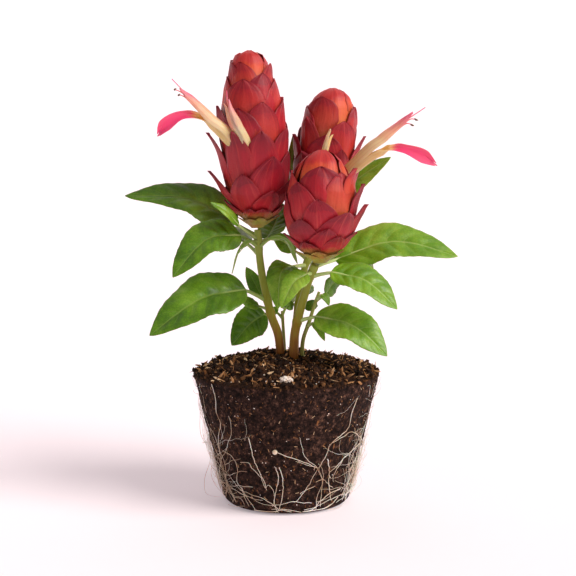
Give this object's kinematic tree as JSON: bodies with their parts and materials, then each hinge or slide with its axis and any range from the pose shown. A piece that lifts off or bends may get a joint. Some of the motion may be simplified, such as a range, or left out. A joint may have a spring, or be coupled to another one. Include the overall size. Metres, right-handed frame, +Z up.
{
  "type": "shrimp plant",
  "caption": "Young potted shrimp plant lifted out of its pot: soil plug with roots, stems with opposite leaves, red bract spikes and two-lipped flowers.",
  "frame": {"origin": "centre of the soil plug's flat base, where it rests", "axes": "+Z up along the plug's axis, -Y to the front, +X to the viewer's right"},
  "size_m": [0.1352, 0.0791, 0.1836],
  "materials": {
    "peat": "dark moist peat with crumbs of bark and perlite, matt",
    "root": "pale cream young root, matt",
    "perlite": "white expanded grain, matt",
    "stem": "olive stem turning brown at the foot, semi-matt",
    "young_shoot": "light green shoot, semi-matt",
    "leaf_shaded": "soft green leaf with sunk veins, satin",
    "leaf_lit": "light green leaf with sunk veins, satin",
    "bract": "crimson to orange-red papery bract with fine veins, satin",
    "corolla": "pale apricot flower tube with a magenta lip, satin"
  },
  "bodies": {
    "root": {"root_ball": "peat", "root_net": "root", "perlite_grain": "perlite", "stem_left": "stem", "stem_right_front": "stem", "stem_right_back": "stem", "shoot_right": "young_shoot", "shoot_middle": "young_shoot", "leaf_left_top": "leaf_shaded", "leaf_left_middle": "leaf_shaded", "leaf_left_low": "leaf_shaded", "leaf_left_curved": "leaf_shaded", "leaf_low_behind": "leaf_shaded", "leaf_upright_behind": "leaf_shaded", "leaf_under_petiole": "leaf_shaded", "leaf_between_dark": "leaf_shaded", "leaf_between_arched": "leaf_shaded", "leaf_shoot_raised": "leaf_shaded", "leaf_shoot_small": "leaf_shaded", "leaf_middle_left": "leaf_shaded", "leaf_middle_right": "leaf_shaded", "leaf_back_upright": "leaf_shaded", "leaf_back_left": "leaf_shaded", "leaf_back_right": "leaf_shaded", "leaf_back_low": "leaf_shaded", "leaf_left_small": "leaf_lit", "leaf_centre_wide": "leaf_lit", "leaf_centre_front": "leaf_lit", "leaf_between_pale": "leaf_lit", "leaf_right_top": "leaf_lit", "leaf_right_middle": "leaf_lit", "leaf_right_low": "leaf_lit", "leaf_shoot_drooped": "leaf_lit", "leaf_shoot_tongue": "leaf_lit", "leaf_back_right_top": "leaf_lit", "spike_left": "bract", "spike_right_back": "bract", "spike_right_front": "bract", "flower_left_open": "corolla", "flower_left_half_open": "corolla", "flower_right_open": "corolla", "flower_right_bud": "corolla"}
  },
  "joints": []
}
